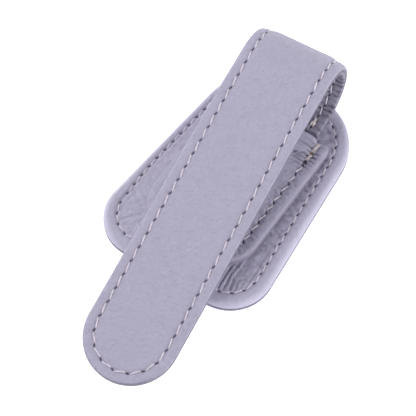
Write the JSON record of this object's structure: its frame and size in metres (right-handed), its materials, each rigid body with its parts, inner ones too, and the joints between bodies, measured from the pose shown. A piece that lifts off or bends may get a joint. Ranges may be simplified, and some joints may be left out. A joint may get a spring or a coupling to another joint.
{
  "type": "leather spring clip",
  "caption": "Leather-covered folding spring clip: a stitched pad, a hinged magnetic leaf and a long sprung tongue that grips what is slid behind it.",
  "frame": {"origin": "centre of the pad's flat back face", "axes": "+X across the clip, +Y towards the fold, +Z away from the pad's back towards the tongue"},
  "size_m": [0.0508, 0.1068, 0.0267],
  "materials": {
    "leather": "soft fine-grained leather, pale lavender grey, satin",
    "lining": "thin wrinkled lining leather, a shade darker",
    "board": "dense fibre stiffening board, matt",
    "magnet": "nickel-plated disc magnet",
    "spring": "cold-rolled spring steel strip",
    "thread": "twisted pale sewing thread",
    "tack_thread": "heavier cream thread, worked in tacks"
  },
  "bodies": {
    "pad": {"pad_back_leather": "leather", "pad_face_lining": "lining", "pad_turned_edge": "leather", "pad_board": "board", "pad_magnets": "magnet", "pad_stitching": "thread", "hinge_tab": "leather"},
    "leaf": {"leaf_under_leather": "leather", "leaf_face_lining": "lining", "leaf_turned_edge": "leather", "leaf_board": "board", "leaf_magnets": "magnet", "leaf_stitching": "thread", "leaf_tacks": "tack_thread", "rear_strap_leather": "leather", "rear_strap_lining": "lining", "rear_strap_filler": "board", "rear_strap_stitching": "thread", "rear_strap_knots": "tack_thread", "spring_lower_leg": "spring"},
    "tongue": {"spring_upper_leg": "spring", "tongue_leather": "leather", "tongue_lining": "lining", "tongue_filler": "board", "tongue_stitching": "thread"}
  },
  "joints": [
    {"name": "leaf_hinge", "type": "hinge", "parent": "pad", "child": "leaf", "pos_m": [0, 0.0355, 0.00395], "axis": [-1, 0, 0], "range_deg": [0, 70]},
    {"name": "tongue_flex", "type": "hinge", "parent": "leaf", "child": "tongue", "pos_m": [-0.00258, 0.03797, 0.0155], "axis": [-0.9969, -0.0785, 0], "range_deg": [0, 30], "stiffness_Nm_per_rad": 0.5, "springref_deg": -2.86}
  ]
}
